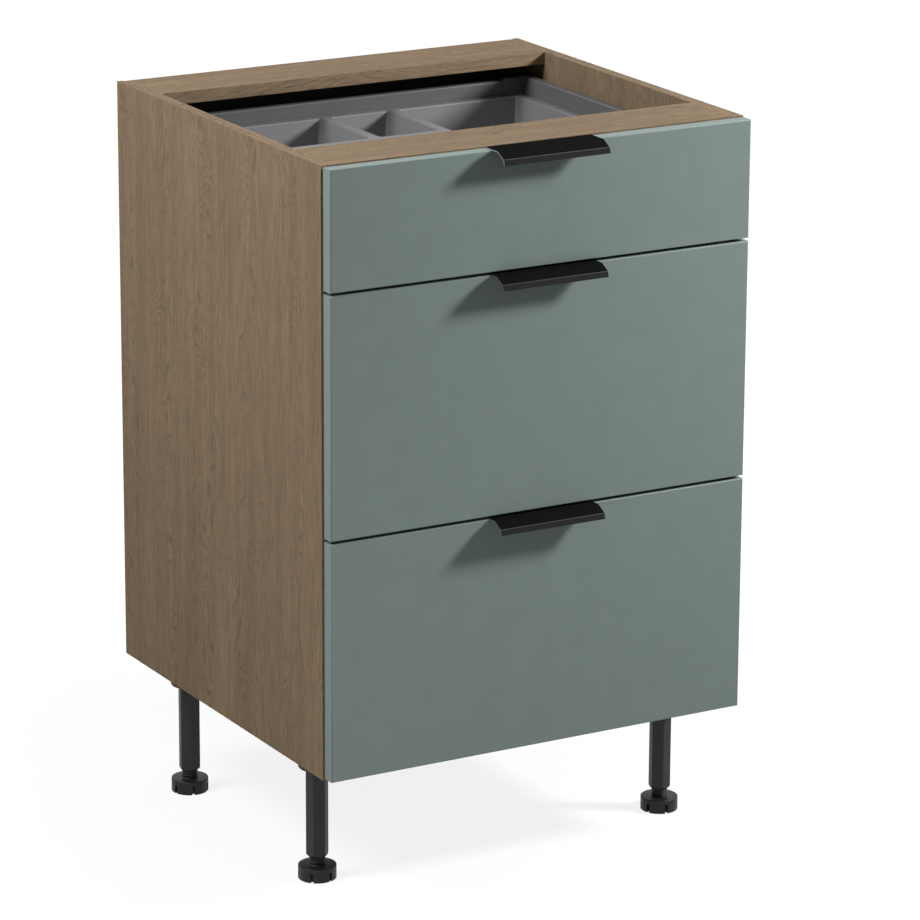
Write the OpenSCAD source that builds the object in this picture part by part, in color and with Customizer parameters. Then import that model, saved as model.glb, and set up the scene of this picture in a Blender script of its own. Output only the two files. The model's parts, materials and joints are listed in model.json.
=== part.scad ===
/* [Case] */
// Width over the two side panels
case_w = 600; // [500:50:900]
// Depth of the side panels
case_d = 560; // [540:10:600]
// Height of the side panels
case_h = 780; // [760:10:840]
// Thickness of the side panels, the bottom panel and the rails
board_t = 16; // [15:1:19]
// Depth of the two rails across the top
rail_w = 96; // [80:2:120]
// Thickness of the back panel
back_t = 3; // [2.5:0.5:5]
// How far the back panel is let into each side panel
back_lap = 8; // [7.5:0.5:10]
// Step from the top of the case down to the top edge of the back panel
back_drop = 4; // [0:1:20]

/* [Fronts] */
// Thickness of a drawer front
front_t = 19; // [16:1:22]
// Height of the top drawer front
top_front_h = 152; // [146:2:180]
// Gap between two fronts
front_gap = 4; // [2.5:0.5:5]
// Space between the fronts and the case
front_clear = 2; // [1.5:0.5:3]
// Step from the side of the case in to the edge of a front
front_reveal = 1.5; // [0:0.5:3]
// Step from the underside of the case up to the lowest front
bottom_reveal = 3; // [0:0.5:6]
// Rounding of the edges of a front
front_edge_r = 1.5; // [0.5:0.5:3]

/* [Handles] */
// Length of a handle
handle_w = 150; // [120:10:200]
// Thickness of the handle profile
handle_t = 1.2; // [1:0.2:2]
// How far a handle stands out from the front
handle_reach = 29; // [22:1:36]
// Flat stretch of a handle ahead of the front, before its crease
handle_brow = 12; // [6:1:16]
// Drop from the top of a handle to the top of its grip lip
handle_fall = 7.2; // [4:0.2:10]
// Height of the grip lip
lip_h = 7.6; // [5:0.2:12]
// How far the grip lip leans outwards over its height
lip_lean = 2.4; // [0:0.2:4]
// Height of the leg behind the front that takes the screws
handle_leg_h = 22; // [16:1:30]
// Radius of the bends of a handle, at the middle of its sheet
handle_bend_r = 1.6; // [0.8:0.2:3]

/* [Drawers] */
// Space between the case and the steel side of a drawer
side_gap = 10; // [8:1:14]
// Width of a steel side over its rim
side_w = 12; // [10:1:16]
// Thickness of the sheet steel of the drawers
sheet_t = 1.2; // [0.8:0.2:2]
// Outside radius of the folds in the sheet steel
fold_r = 1.8; // [1.4:0.2:2.4]
// Width of the flange of a steel side under the drawer base
flange_w = 22; // [18:1:26]
// Thickness of the drawer bases
base_t = 16; // [12:1:18]
// Length of a drawer from the back of its front to its back wall
drawer_len = 486; // [440:2:500]
// Height of the steel sides of the top drawer above the base's underside
top_side_h = 96; // [88:1:102]
// Height of the steel sides of the two deep drawers, measured alike
deep_side_h = 200; // [120:5:230]
// Height of the top drawer's base above the lower edge of its front
top_base_lift = 23.4; // [20:0.2:26]
// Height of a deep drawer's base above the lower edge of its front
deep_base_lift = 41.2; // [41.2:0.2:48]
// Step from the rim of a steel side down to the back wall's edge
back_wall_drop = 5; // [2:0.5:12]
// Depth of the folds along the back wall
back_fold = 10; // [6:1:14]
// Space around parts that slot into each other
slot_gap = 0.5; // [0.3:0.1:0.8]

/* [Drawer hardware] */
// Width of the corner brackets beside the back wall
corner_w = 29; // [20:1:40]
// Thickness of the corner brackets
corner_t = 8; // [6:1:12]
// Wall thickness of the corner brackets
corner_rib = 2.4; // [1.6:0.2:3.6]
// Step from the rim of a steel side down to a corner bracket
corner_drop = 2.5; // [1.5:0.5:8]
// Length of a corner bracket's tongue inside the steel side
corner_tongue = 25; // [15:1:40]
// Length of the front brackets inside the steel sides
bracket_l = 30; // [20:1:50]
// Height of the front brackets
bracket_h = 46; // [40:1:50]
// Thickness of a front bracket under its screw heads
bracket_web = 3; // [2:0.5:5]
// Width of the catches under the drawer base
catch_w = 28; // [20:1:40]
// Length of the catches
catch_l = 50; // [36:1:70]
// Height of the catches
catch_h = 12; // [9:0.5:14]
// Thickness of a catch under its screw heads
catch_web = 3; // [2:0.5:4]
// Step from the front edge of the case back to the catches
catch_setback = 22; // [20:1:40]
// Length of the lever of a catch
catch_lever = 18; // [10:1:19]
// Thickness of the lever of a catch
catch_lever_t = 4; // [3:0.5:6]

/* [Runners] */
// Length of the runner rails on the case
runner_len = 500; // [460:5:520]
// Length of the links between rails and slides
link_len = 460; // [420:5:480]
// Thickness of the runner profiles
runner_t = 1.5; // [1.2:0.1:1.8]
// Running gap between two nested profiles
run_gap = 0.5; // [0.4:0.1:0.6]
// Height of the channel of a rail on the case
channel_h = 20; // [18:0.5:20]
// Width of the channel of a rail on the case
channel_w = 11; // [9:0.5:12]
// Depth of a rail's underside below the drawer base
rail_drop = 26; // [25.5:0.5:27]
// How far the flanges of a link reach past those of its rail
link_reach = 3; // [2:0.5:4]
// Step from the front edge of the case back to the rails
runner_setback = 3; // [2:1:8]

/* [Cutlery tray] */
// Height of the tray
tray_h = 56.4; // [40:0.4:64]
// Wall thickness of the tray
tray_wall = 2; // [1.5:0.1:3]
// Width of the tray's rim around the compartments
tray_rim_w = 14; // [10:1:20]
// Width of the dividers at their top
divider_w = 15; // [10:1:20]
// Width of the small compartment at the back
small_bay_w = 85; // [70:1:110]
// Width of the long compartment at the right
long_bay_w = 182; // [120:2:200]
// Length of the two compartments at the back
rear_bay_l = 134; // [110:1:200]
// Number of compartments side by side at the front
front_bays = 3; // [2:1:4]
// How much a compartment narrows from its mouth to its floor, each side
bay_draft = 7; // [4:0.5:9]
// Corner radius of a compartment at its mouth
bay_corner_r = 4.5; // [4:0.5:14]
// Radius between the walls and the floor of a compartment
bay_floor_r = 4; // [3:0.5:10]
// Rounding of the upper edge of a compartment
bay_lip_r = 2.4; // [1:0.2:3]
// Depth of the skirt around the tray's rim
tray_skirt_h = 9; // [5:1:14]
// Space between the tray and the drawer
tray_play = 0.5; // [0.3:0.1:1]

/* [Legs] */
// Height of the underside of the case above the floor
leg_h = 170; // [140:5:190]
// Distance of the leg centres from the sides of the case
leg_in_x = 44; // [40:1:70]
// Distance of the front leg centres from the front of the case
leg_in_front = 98.6; // [60:0.2:120]
// Distance of the rear leg centres from the back of the case
leg_in_back = 99; // [60:1:120]
// Diameter of the leg sockets under the case
socket_d = 48; // [46:1:60]
// Height of the leg sockets
socket_h = 22; // [17:1:28]
// Rounding of the lower edge of a leg socket
socket_round = 4; // [2:0.5:4.5]
// Thickness of a leg socket over its screw heads
leg_plate_t = 5; // [4:0.5:7]
// Diameter of the spigot that holds a tube in its socket
spigot_d = 22; // [20:0.5:22]
// Length of the spigot
spigot_len = 16; // [10:1:16]
// Width across the flats of a leg tube
tube_flats = 25.6; // [25:0.2:30]
// Diameter to which the corners of a leg tube are turned
tube_d = 28.8; // [28.2:0.2:32]
// Turn of the tubes about their own axis
tube_turn = 14; // [0:1:30]
// Height of the lower end of a leg tube above the floor
tube_end_h = 29.2; // [24:0.2:36]
// Chamfer at the lower end of a leg tube
tube_chamfer = 3.2; // [1:0.2:3.4]
// Diameter of the threaded stem of a foot
stem_d = 21; // [18:0.5:21]
// Length of the threaded stem above the foot
stem_len = 70; // [50:5:75]
// Space above the stem inside its tube
stem_room = 14; // [12:1:20]
// Running gap between a stem and its tube
stem_gap = 0.3; // [0.2:0.05:0.4]
// Pitch of the thread
thread_pitch = 3; // [2:0.5:4]
// Depth of the thread
thread_depth = 0.9; // [0.5:0.1:1.4]
// Diameter of a foot
foot_d = 49.2; // [44:0.2:60]
// Thickness of a foot
foot_t = 18; // [14:0.5:20]
// Rounding of the upper edge of a foot
foot_edge_r = 1; // [0.5:0.1:1.5]
// Number of grip notches around a foot
notch_count = 6; // [4:1:10]
// Width of a grip notch
notch_w = 3.8; // [2:0.2:5]
// Height of a grip notch above the floor
notch_h = 12; // [6:0.2:13]
// Depth of a grip notch
notch_depth = 5; // [3:0.5:8]

/* [Fasteners] */
// Diameter of the dowels in the board joints
dowel_d = 8; // [6:1:10]
// Length of the dowels
dowel_len = 30; // [28:1:36]
// Depth of the dowel and bolt holes in a side panel
panel_hole_l = 11; // [10:0.5:12]
// Diameter of the cams in the board joints
cam_d = 15; // [12:1:18]
// Thickness of the cams
cam_t = 12; // [10:0.5:12.5]
// Diameter of the bolts that the cams pull
cam_bolt_d = 6; // [5:0.5:7]
// Distance of a cam's centre from the end of its board
cam_in = 24; // [20:1:34]
// Diameter of the shanks of the wood screws
screw_d = 4; // [3:0.5:5]
// Length of the wood screws below their heads
screw_len = 12; // [8:1:14]
// Diameter of the heads of the wood screws
screw_head_d = 7; // [6:0.2:7.2]
// Height of the heads of the wood screws
screw_head_t = 1.6; // [1.2:0.2:2.4]
// Clearance around every dowel, cam, bolt and screw
fit = 0.05; // [0.02:0.01:0.2]

/* [Hidden] */

$fn = 48;

// How far a cut runs past the face that it opens
past = 1;

// Colours of the materials
oak = [0.50, 0.43, 0.35];
hdf = [0.12, 0.12, 0.12];
sage = [0.44, 0.49, 0.47];
black = [0.13, 0.13, 0.13];
steel_grey = [0.33, 0.33, 0.34];
zinc = [0.72, 0.73, 0.74];
tray_grey = [0.47, 0.47, 0.48];
beech = [0.80, 0.66, 0.48];
board_grey = [0.45, 0.45, 0.46];

// Case
inner_half = case_w / 2 - board_t;
depth_all = case_d + front_clear + front_t + handle_reach;
case_y = depth_all / 2 - case_d;
rail_z = case_h - board_t;
inside_d = case_d - back_t;
rear_rail_y = inside_d - rail_w;
bottom_panel_mid = board_t / 2;
rail_mid = rail_z + board_t / 2;

// Fronts, numbered from the top: 0 top, 1 middle, 2 bottom
front_top_z = case_h - handle_t;
deep_front_h = (front_top_z - bottom_reveal - top_front_h - 2 * front_gap) / 2;
front_w = case_w - 2 * front_reveal;
front_back_y = -front_clear;
front_face_y = front_back_y - front_t;
function front_h(k) = k == 0 ? top_front_h : deep_front_h;
function front_z(k) = bottom_reveal + (2 - k) * (deep_front_h + front_gap);

// Drawers
side_inner_half = inner_half - side_gap - side_w;
base_half = inner_half - side_gap - fold_r;
drawer_back_y = front_back_y + drawer_len;
function base_z(k) = front_z(k) + (k == 0 ? top_base_lift : deep_base_lift);
function side_h(k) = k == 0 ? top_side_h : deep_side_h;

// Runner profiles, as distance from the side panel and height from the drawer base
link_step = runner_t + run_gap;
rail_z0 = -rail_drop;
rail_x1 = side_gap + channel_w;
link_x0 = side_gap + link_step;
link_x1 = rail_x1 + link_reach;
link_z0 = rail_z0 + link_step;
link_h = channel_h - 2 * link_step;
slide_z0 = link_z0 + link_step;
slide_h = link_h - 2 * link_step;
slide_x1 = link_x1 + run_gap + runner_t;

// Places of the fasteners
rail_screw_in = 36;
rail_screw_ys = [for (share = [0, 0.5, 1])
    runner_setback + rail_screw_in + share * (runner_len - 2 * rail_screw_in)];
rail_screw_z = rail_z0 + channel_h / 2;
back_screw_x = inner_half + back_lap / 2;
back_screw_in = 60;
flange_screw_in = 70;
flange_screw_ys = [front_back_y + flange_screw_in, drawer_back_y - flange_screw_in];
flange_screw_x = inner_half - side_gap - flange_w / 3;
bracket_screw_in = 9;
bracket_z0 = base_t + slot_gap;
bracket_screw_rises = [bracket_z0 + bracket_screw_in, bracket_z0 + bracket_h - bracket_screw_in];
bracket_x0 = side_inner_half + sheet_t + slot_gap;
bracket_x1 = inner_half - side_gap - sheet_t - slot_gap;
catch_x1 = inner_half - side_gap - flange_w - slot_gap;
catch_x0 = catch_x1 - catch_w;
catch_screw_in = 12;
catch_screw_ys = [catch_setback + catch_screw_in, catch_setback + catch_l - catch_screw_in];
handle_screw_x = handle_w / 3;
leg_screw_r = (spigot_d / 2 + socket_d / 2 - socket_round) / 2;
leg_screw_turns = [30, 150, 270];

// Dowels and cams in the ends of the rails and of the bottom panel, as [y, z]
rail_dowel_in = 24;
rail_cam_in = 62;
panel_dowel_in = 80;
panel_cam_in = 160;
dowel_places = concat(
    [for (y = [rail_dowel_in, inside_d - rail_dowel_in]) [y, rail_mid]],
    [for (y = [panel_dowel_in, inside_d / 2, inside_d - panel_dowel_in]) [y, bottom_panel_mid]]);
cam_places = concat(
    [for (y = [rail_cam_in, inside_d - rail_cam_in]) [y, rail_mid]],
    [for (y = [panel_cam_in, inside_d - panel_cam_in]) [y, bottom_panel_mid]]);
leg_places = [for (x = [-1, 1], y = [leg_in_front, case_d - leg_in_back])
    [x * (case_w / 2 - leg_in_x), y]];
foot_turns = [16, -15, -8, 10];

// Points of an arc that rounds the corner b between a and c
function unit(v) = v / norm(v);
function corner_arc(a, b, c, r, n = 5) =
    let (u = unit(a - b), w = unit(c - b),
        half = acos(u * w) / 2,
        start = b + u * r / tan(half),
        centre = b + unit(u + w) * r / sin(half),
        spoke = start - centre,
        sweep = sign(cross(b - a, c - b)) * (180 - 2 * half))
    [for (i = [0 : n]) let (t = sweep * i / n)
        centre + [spoke[0] * cos(t) - spoke[1] * sin(t), spoke[0] * sin(t) + spoke[1] * cos(t)]];

// A path with its inner corners rounded to the radius r on the centre line
function round_path(p, r) = concat([p[0]],
    [for (i = [1 : len(p) - 2]) each corner_arc(p[i - 1], p[i], p[i + 1], r)],
    [p[len(p) - 1]]);

// Outline of a sheet of thickness t that is bent along a path
function normal(a, b) = let (d = unit(b - a)) [-d[1], d[0]];
function mitre(p, i) =
    let (last = len(p) - 1,
        before = i == 0 ? normal(p[0], p[1]) : normal(p[i - 1], p[i]),
        after = i == last ? before : normal(p[i], p[i + 1]))
    (before + after) / (1 + before * after);
function sheet(p, t) = concat(
    [for (i = [0 : len(p) - 1]) p[i] + mitre(p, i) * t / 2],
    [for (i = [len(p) - 1 : -1 : 0]) p[i] - mitre(p, i) * t / 2]);

// The case's own frame: middle of its width, its front edge and its underside
module at_case() translate([0, case_y, leg_h]) children();

module both_sides() {
    children();
    mirror([1, 0, 0]) children();
}

// Extrudes an outline drawn as distance from the right side panel and height
module inward(y0, y1)
    translate([inner_half, y1, 0]) rotate([90, 0, 0]) mirror([1, 0, 0])
        linear_extrude(y1 - y0) children();

// Extrudes an outline drawn as depth and height over a width
module across(w) rotate([90, 0, 90]) linear_extrude(w, center = true) children();

module board(x0, x1, y0, y1, z0, z1)
    translate([x0, y0, z0]) cube([x1 - x0, y1 - y0, z1 - z0]);

// A wood screw that points up the Z axis, with its head below the XY plane
module screw() {
    cylinder(h = screw_len, r = screw_d / 2);
    translate([0, 0, -screw_head_t]) cylinder(h = screw_head_t, r = screw_head_d / 2);
}

// The hole for a screw's shank, which starts below the XY plane
module shank_hole(below = past)
    translate([0, 0, -below]) cylinder(h = screw_len + below + fit, r = screw_d / 2 + fit);

// The seat for a screw's head, from the XY plane down
module head_seat(depth)
    translate([0, 0, -depth]) cylinder(h = depth + fit, r = screw_head_d / 2 + fit);

// A flat screw, whose head starts at the XY plane and tapers over the height t
module flat_screw(t, grow = 0) translate([0, 0, -grow]) {
    cylinder(h = screw_len + 2 * grow, r = screw_d / 2 + grow);
    cylinder(h = t + grow, r1 = screw_head_d / 2 + grow, r2 = screw_d / 2 + grow);
}

module dowel_at(p, grow = 0)
    translate([inner_half + panel_hole_l + grow, p[0], p[1]]) rotate([0, -90, 0])
        cylinder(h = dowel_len + 2 * grow, r = dowel_d / 2 + grow);

module cam_at(p, grow = 0) {
    translate([inner_half + panel_hole_l + grow, p[0], p[1]]) rotate([0, -90, 0])
        cylinder(h = panel_hole_l + cam_in + grow, r = cam_bolt_d / 2 + grow);
    translate([inner_half - cam_in, p[0], p[1] - board_t / 2 - grow])
        cylinder(h = cam_t + 2 * grow, r = cam_d / 2 + grow);
}

module joint_holes() both_sides() {
    for (p = dowel_places) dowel_at(p, fit);
    for (p = cam_places) cam_at(p, fit);
}

module at_rail_screws(k)
    for (y = rail_screw_ys)
        translate([inner_half - runner_t, y, base_z(k) + rail_screw_z])
            rotate([0, 90, 0]) children();

module at_back_screws() {
    for (s = [-1, 1], z = [back_screw_in, case_h / 2, rail_z - back_screw_in])
        translate([s * back_screw_x, case_d, z]) rotate([90, 0, 0]) children();
    for (s = [-1, 1], z = [bottom_panel_mid, rail_mid])
        translate([s * case_w / 4, case_d, z]) rotate([90, 0, 0]) children();
}

module at_leg(i) translate([leg_places[i][0], leg_places[i][1], 0]) children();

module at_leg_screws()
    for (i = [0 : 3], turn = leg_screw_turns)
        at_leg(i) rotate([0, 0, turn]) translate([leg_screw_r, 0, -leg_plate_t]) children();

module side_panel() color(oak) at_case() difference() {
    board(inner_half, case_w / 2, 0, case_d, 0, case_h);
    board(inner_half - past, inner_half + back_lap,
        inside_d, case_d + past, -past, case_h + past);
    joint_holes();
    for (k = [0 : 2]) at_rail_screws(k) shank_hole();
    at_back_screws() shank_hole(back_t + past);
}

module bottom_panel() color(oak) at_case() difference() {
    board(-inner_half, inner_half, 0, inside_d, 0, board_t);
    joint_holes();
    at_back_screws() shank_hole(back_t + past);
    at_leg_screws() shank_hole(leg_plate_t);
}

module back_panel() color(hdf) at_case() difference() {
    board(-inner_half - back_lap + fit, inner_half + back_lap - fit,
        inside_d, case_d, 0, case_h - back_drop);
    at_back_screws() flat_screw(back_t / 2, fit);
}

module rail(y0) color(oak) at_case() difference() {
    board(-inner_half, inner_half, y0, y0 + rail_w, rail_z, case_h);
    joint_holes();
    at_back_screws() shank_hole(back_t + past);
}

module panel_dowels() color(beech) at_case() both_sides()
    for (p = dowel_places) dowel_at(p);

module cam_fittings() color(zinc) at_case() both_sides()
    for (p = cam_places) cam_at(p);

module back_panel_screws() color(zinc) at_case() at_back_screws() flat_screw(back_t / 2);

// A rail on the case: an angle on the side panel and a channel that opens inward
module runner_rails(k) {
    foot_z = base_z(k) + rail_z0 + runner_t / 2;
    head_z = foot_z + channel_h - runner_t;
    web_x = side_gap + runner_t / 2;
    color(zinc) at_case() both_sides() difference() {
        inward(runner_setback, runner_setback + runner_len) union() {
            polygon(sheet([[runner_t / 2, head_z + runner_t / 2], [runner_t / 2, foot_z],
                [rail_x1, foot_z]], runner_t));
            polygon(sheet([[web_x, foot_z], [web_x, head_z], [rail_x1, head_z]], runner_t));
        }
        at_rail_screws(k) shank_hole(runner_t);
    }
}

module runner_screws() color(zinc) at_case() both_sides()
    for (k = [0 : 2]) at_rail_screws(k) screw();

// A link: a channel that opens inward and runs inside the rail's channel
module runner_links(k) {
    z0 = base_z(k) + link_z0 + runner_t / 2;
    z1 = z0 + link_h - runner_t;
    x0 = link_x0 + runner_t / 2;
    color(zinc) at_case() both_sides()
        inward(runner_setback + runner_t, runner_setback + runner_t + link_len)
            polygon(sheet([[link_x1, z1], [x0, z1], [x0, z0], [link_x1, z0]], runner_t));
}

// A slide: a channel that opens outward inside the link, with a flange under the drawer
module slides(k) {
    z0 = base_z(k) + slide_z0 + runner_t / 2;
    z1 = z0 + slide_h - runner_t;
    top_z = base_z(k) - sheet_t - runner_t / 2;
    x0 = link_x0 + link_step;
    web_x = slide_x1 - runner_t / 2;
    color(zinc) at_case() both_sides() inward(0, drawer_back_y) union() {
        polygon(sheet([[x0, z0], [web_x, z0], [web_x, top_z],
            [side_gap + flange_w, top_z]], runner_t));
        polygon(sheet([[x0, z1], [web_x, z1]], runner_t));
    }
}

// Section of a front with rounded corners, its back on the Y axis
module front_outline(h) {
    r = front_edge_r;
    translate([r - front_t, 0]) square([front_t - 2 * r, h]);
    translate([-front_t, r]) square([front_t, h - 2 * r]);
    for (x = [r - front_t, -r], y = [r, h - r]) translate([x, y]) circle(r);
}

module drawer_front(k) color(sage) at_case() difference() {
    intersection() {
        across(front_w) translate([front_back_y, front_z(k)]) front_outline(front_h(k));
        translate([-front_w / 2, front_back_y, front_z(k)]) linear_extrude(front_h(k))
            mirror([1, -1]) front_outline(front_w);
    }
    at_handle_screws(k) shank_hole();
    both_sides() at_bracket_screws(k) shank_hole(bracket_web);
}

module at_handle_screws(k)
    for (s = [-1, 1])
        translate([s * handle_screw_x, front_back_y + handle_t,
            front_z(k) + front_h(k) - handle_leg_h / 2]) rotate([90, 0, 0]) children();

// An edge pull: a leg behind the front, a flange on its edge, a fall and a grip lip
module handle(k) {
    leg_y = front_back_y + handle_t / 2;
    lip_fall = lip_h - handle_t / 2;
    tip_y = front_face_y - handle_reach + handle_t / 2 * cos(atan2(lip_lean, lip_fall));
    top = front_z(k) + front_h(k) + handle_t / 2;
    color(black) at_case() difference() {
        across(handle_w) polygon(sheet(round_path([
            [leg_y, top - handle_leg_h], [leg_y, top],
            [front_face_y - handle_brow, top],
            [tip_y + lip_lean, top - handle_fall],
            [tip_y, top - handle_fall - lip_fall]], handle_bend_r), handle_t));
        at_handle_screws(k) flat_screw(handle_t, fit);
    }
}

// Screws that point up through the flange of a steel side into the drawer base
module at_flange_screws(k)
    for (y = flange_screw_ys)
        translate([flange_screw_x, y, base_z(k) - sheet_t]) children();

// A double steel side: inner wall, flat rim, outer wall and a flange under the base
module steel_side(k) {
    half_t = sheet_t / 2;
    top = side_h(k) - half_t;
    color(steel_grey) at_case() difference() {
        translate([0, 0, base_z(k)]) inward(front_back_y, drawer_back_y)
            translate([side_gap, 0]) polygon(sheet(round_path([
                [side_w - half_t, base_t + fit], [side_w - half_t, top], [half_t, top],
                [half_t, -half_t], [flange_w, -half_t]], fold_r - half_t), sheet_t));
        at_flange_screws(k) shank_hole();
    }
}

// A folded steel wall across the back, which stands behind the base and turns under it
module steel_back(k) {
    h = side_h(k) - back_wall_drop;
    half_t = sheet_t / 2;
    y0 = drawer_back_y + fold_r - half_t;
    color(steel_grey) at_case() translate([0, 0, base_z(k)])
        across(2 * (side_inner_half - corner_w))
            polygon(sheet(round_path([[y0 - back_fold, -half_t], [y0, -half_t],
                [y0, h - half_t], [y0 + back_fold, h - half_t],
                [y0 + back_fold, h - back_fold]], fold_r - half_t), sheet_t));
}

// Corner brackets: a ribbed plate beside the back wall and a tongue in each steel side
module corner_brackets(k) {
    h = side_h(k) - corner_drop;
    x0 = side_inner_half - corner_w;
    x1 = inner_half - side_gap;
    y1 = drawer_back_y + corner_t;
    color(steel_grey) at_case() both_sides() translate([0, 0, base_z(k)]) {
        difference() {
            board(x0, x1, drawer_back_y, y1, 0, h);
            board(x0 + corner_rib, x1 - corner_rib, drawer_back_y + corner_rib,
                y1 + past, corner_rib, h - corner_rib);
        }
        board(bracket_x0, bracket_x1, drawer_back_y - corner_tongue, drawer_back_y + corner_rib,
            bracket_z0, h - corner_rib);
    }
}

module at_bracket_screws(k)
    for (rise = bracket_screw_rises)
        translate([(bracket_x0 + bracket_x1) / 2, front_back_y + bracket_web,
            base_z(k) + rise]) rotate([90, 0, 0]) children();

// Blocks inside the steel sides that hold the front
module front_brackets(k) color(zinc) at_case() both_sides() difference() {
    translate([0, 0, base_z(k)]) board(bracket_x0, bracket_x1,
        front_back_y, front_back_y + bracket_l, bracket_z0, bracket_z0 + bracket_h);
    at_bracket_screws(k) shank_hole();
    at_bracket_screws(k) head_seat(bracket_l);
}

module drawer_base(k) color(board_grey) at_case() difference() {
    translate([0, 0, base_z(k)])
        board(-base_half, base_half, front_back_y, drawer_back_y, 0, base_t);
    both_sides() at_flange_screws(k) shank_hole();
    both_sides() at_catch_screws(k) shank_hole();
}

module at_catch_screws(k)
    for (y = catch_screw_ys)
        translate([(catch_x0 + catch_x1) / 2, y, base_z(k) - catch_web]) children();

// Catches that lock a drawer on its slides: a body under the base and a thumb lever
module catches(k) color(board_grey) at_case() both_sides() difference() {
    translate([0, 0, base_z(k) - catch_h]) {
        board(catch_x0, catch_x1, catch_setback, catch_setback + catch_l, 0, catch_h);
        board(catch_x0, (catch_x0 + catch_x1) / 2, catch_setback - catch_lever,
            catch_setback + past, 0, catch_lever_t);
    }
    at_catch_screws(k) shank_hole();
    at_catch_screws(k) head_seat(catch_h);
}

module drawer_screws(k) color(zinc) at_case() {
    at_handle_screws(k) flat_screw(handle_t);
    both_sides() {
        at_bracket_screws(k) screw();
        at_catch_screws(k) screw();
        at_flange_screws(k) screw();
    }
}

// Cutlery tray: its outer edge and the mouths of its compartments, as [x0, x1, y0, y1]
tray_x1 = side_inner_half - tray_play;
tray_y0 = front_back_y + tray_play;
tray_y1 = drawer_back_y - tray_play;
tray_floor = base_z(0) + base_t;
tray_top = tray_floor + tray_h;
bays_x1 = tray_x1 - tray_rim_w;
bays_y0 = tray_y0 + tray_rim_w;
bays_y1 = tray_y1 - tray_rim_w;
small_x1 = bays_x1 - long_bay_w - divider_w;
small_x0 = small_x1 - small_bay_w;
rear_y0 = bays_y1 - rear_bay_l;
front_bay_w = (small_x1 + bays_x1 - (front_bays - 1) * divider_w) / front_bays;
bays = concat(
    [[bays_x1 - long_bay_w, bays_x1, bays_y0, bays_y1],
     [small_x0, small_x1, rear_y0, bays_y1],
     [-bays_x1, small_x0 - divider_w, rear_y0, bays_y1]],
    [for (i = [0 : front_bays - 1])
        let (x = -bays_x1 + i * (front_bay_w + divider_w))
        [x, x + front_bay_w, bays_y0, rear_y0 - divider_w]]);

// The plates that draw the quarter round between a well's floor and its walls
floor_angles = [0, 20, 45, 70, 90];

// Four round corner posts of the height t, for a hull around them
module round_plate(b, grow, r, z, t)
    for (x = [b[0] - grow + r, b[1] + grow - r], y = [b[2] - grow + r, b[3] + grow - r])
        translate([x, y, z]) cylinder(h = t, r = r, $fn = 24);

// A tapered well with round corners and a rounded floor, wider by grow all round
module well(b, grow, floor_z, top_z) {
    r = bay_floor_r;
    floor_b = [b[0] + bay_draft, b[1] - bay_draft, b[2] + bay_draft, b[3] - bay_draft];
    hull() {
        round_plate(b, grow, bay_corner_r + grow, top_z - fit, fit);
        for (a = floor_angles)
            round_plate(floor_b, grow - r * (1 - sin(a)), max(fit, r * sin(a)),
                floor_z + r * (1 - cos(a)), fit);
    }
}

// The mouth of a well, which opens along a quarter round drawn in two steps
module well_mouth(b) {
    r = bay_lip_r;
    steps = [0, 0.3, 1];
    heights = [0, 0.7, 1];
    for (i = [0, 1]) hull() {
        round_plate(b, r * steps[i], bay_corner_r + r * steps[i],
            tray_top - r * (1 - heights[i]), fit);
        round_plate(b, r * steps[i + 1], bay_corner_r + r * steps[i + 1],
            tray_top - r * (1 - heights[i + 1]), fit);
    }
}

module cutlery_tray() {
    edge = [-tray_x1, tray_x1, tray_y0, tray_y1];
    color(tray_grey) at_case() difference() {
        union() {
            difference() {
                hull() round_plate(edge, 0, bay_lip_r, tray_top - tray_skirt_h, tray_skirt_h);
                hull() round_plate(edge, -tray_wall, bay_lip_r,
                    tray_top - tray_skirt_h - past, tray_skirt_h + past - tray_wall);
            }
            for (b = bays) well(b, tray_wall, tray_floor, tray_top - tray_wall / 2);
        }
        for (b = bays) {
            well(b, 0, tray_floor + tray_wall, tray_top - bay_lip_r + fit);
            well_mouth(b);
        }
    }
}

// A leg socket: a turned cup with a rounded lower edge, screwed under the case
module leg_sockets() {
    r = socket_d / 2;
    bore = spigot_d / 2 + fit;
    plate = socket_h - spigot_len - slot_gap;
    edge = corner_arc([r, 0], [r, -socket_h], [0, -socket_h], socket_round);
    color(black) at_case() difference() {
        for (i = [0 : 3]) at_leg(i) rotate_extrude()
            polygon(concat([[0, 0], [r, 0]], edge,
                [[bore, -socket_h], [bore, -plate], [0, -plate]]));
        at_leg_screws() shank_hole();
        at_leg_screws() head_seat(socket_h);
    }
}

// A leg tube: six flats, its corners and lower end turned, bored for the stem
module leg_tube() {
    r = tube_d / 2;
    z0 = tube_end_h - leg_h;
    bore_top = foot_t - leg_h + stem_len + stem_room;
    difference() {
        union() {
            intersection() {
                rotate([0, 0, tube_turn - 30]) translate([0, 0, z0])
                    cylinder(h = -socket_h - z0, r = tube_flats / 2 / cos(30), $fn = 6);
                rotate_extrude() polygon([[0, z0], [r - tube_chamfer, z0],
                    [r, z0 + tube_chamfer], [r, -socket_h], [0, -socket_h]]);
            }
            translate([0, 0, -socket_h - past])
                cylinder(h = spigot_len + past, r = spigot_d / 2);
        }
        translate([0, 0, z0 - past])
            cylinder(h = bore_top - z0 + past, r = stem_d / 2 + stem_gap);
    }
}

module leg_tubes() color(black) at_case()
    for (i = [0 : 3]) at_leg(i)
        mirror([leg_places[i][0] > 0 ? 1 : 0, 0, 0])
            mirror([0, leg_places[i][1] > case_d / 2 ? 1 : 0, 0]) leg_tube();

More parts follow.
